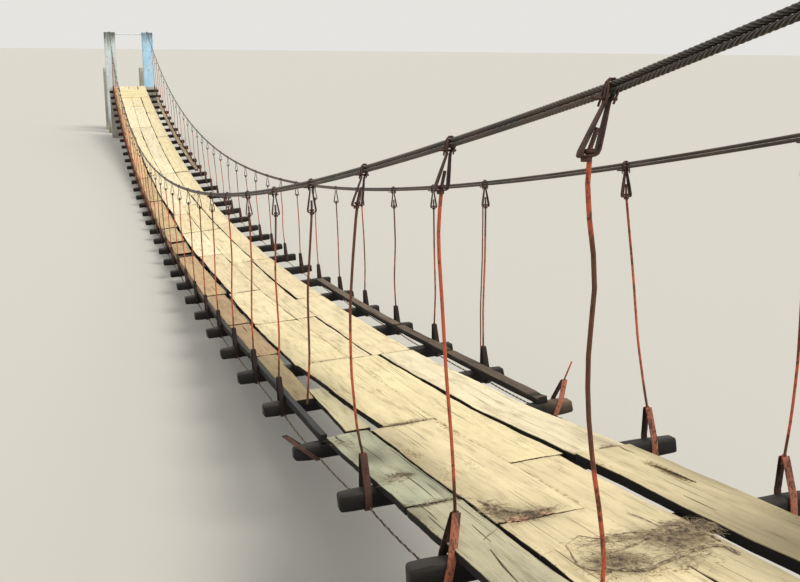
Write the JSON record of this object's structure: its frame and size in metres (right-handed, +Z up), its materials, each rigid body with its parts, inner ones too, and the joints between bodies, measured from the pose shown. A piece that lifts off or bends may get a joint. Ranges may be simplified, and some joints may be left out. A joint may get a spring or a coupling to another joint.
{
  "type": "rope suspension footbridge",
  "caption": "Timber footbridge hung by rusted rods from twin wire ropes over concrete gateway posts, with a sagging board deck, edge kerbs, anchors and abutments.",
  "frame": {"origin": "centre of the footprint, on the level that the posts, anchors and abutments stand on, at mid span", "axes": "+X along the bridge to the far bank, +Y to its left side, +Z up"},
  "size_m": [39.6, 1.67, 3.336],
  "materials": {
    "painted_concrete": "flat blue paint, weathered, with mildew",
    "pipe_paint": "weathered paint",
    "bare_concrete": "rough cast concrete",
    "wire_rope": "dull, stranded, with rust",
    "rusted_steel": "rusted, orange to dark brown",
    "transom_timber": "dark weathered timber",
    "old_board_timber": "grey-brown worn boards",
    "pale_board_timber": "pale worn boards",
    "kerb_timber": "dark weathered timber"
  },
  "bodies": {
    "root": {"near_left_post": "painted_concrete", "near_right_post": "painted_concrete", "far_left_post": "painted_concrete", "far_right_post": "painted_concrete", "near_lintel_pipe": "pipe_paint", "far_lintel_pipe": "pipe_paint", "near_left_anchor": "bare_concrete", "near_right_anchor": "bare_concrete", "far_left_anchor": "bare_concrete", "far_right_anchor": "bare_concrete", "near_abutment": "bare_concrete", "far_abutment": "bare_concrete", "left_upper_rope": "wire_rope", "left_lower_rope": "wire_rope", "right_upper_rope": "wire_rope", "right_lower_rope": "wire_rope", "left_hangers_1_to_9": "rusted_steel", "left_hangers_10_to_18": "rusted_steel", "left_hangers_19_to_27": "rusted_steel", "left_hangers_28_to_36": "rusted_steel", "right_hangers_1_to_9": "rusted_steel", "right_hangers_10_to_18": "rusted_steel", "right_hangers_19_to_27": "rusted_steel", "right_hangers_28_to_36": "rusted_steel", "left_broken_hanger": "rusted_steel", "transoms_1_to_6": "transom_timber", "transoms_7_to_12": "transom_timber", "transoms_13_to_18": "transom_timber", "transoms_19_to_24": "transom_timber", "transoms_25_to_30": "transom_timber", "transoms_31_to_36": "transom_timber", "left_lane_near": "old_board_timber", "left_lane_second": "old_board_timber", "left_lane_third": "old_board_timber", "left_lane_fourth": "old_board_timber", "left_lane_fifth": "old_board_timber", "left_lane_far": "old_board_timber", "left_lane_short_board": "pale_board_timber", "centre_lane_near": "pale_board_timber", "centre_lane_second": "pale_board_timber", "centre_lane_third": "pale_board_timber", "centre_lane_fourth": "pale_board_timber", "centre_lane_far": "pale_board_timber", "right_lane_near": "pale_board_timber", "right_lane_second": "pale_board_timber", "right_lane_third": "pale_board_timber", "right_lane_fourth": "pale_board_timber", "right_lane_fifth": "pale_board_timber", "right_lane_far": "pale_board_timber", "left_kerb_near": "kerb_timber", "left_kerb_middle": "kerb_timber", "left_kerb_far": "kerb_timber", "right_kerb_near": "kerb_timber", "right_kerb_far": "kerb_timber"}
  },
  "joints": []
}
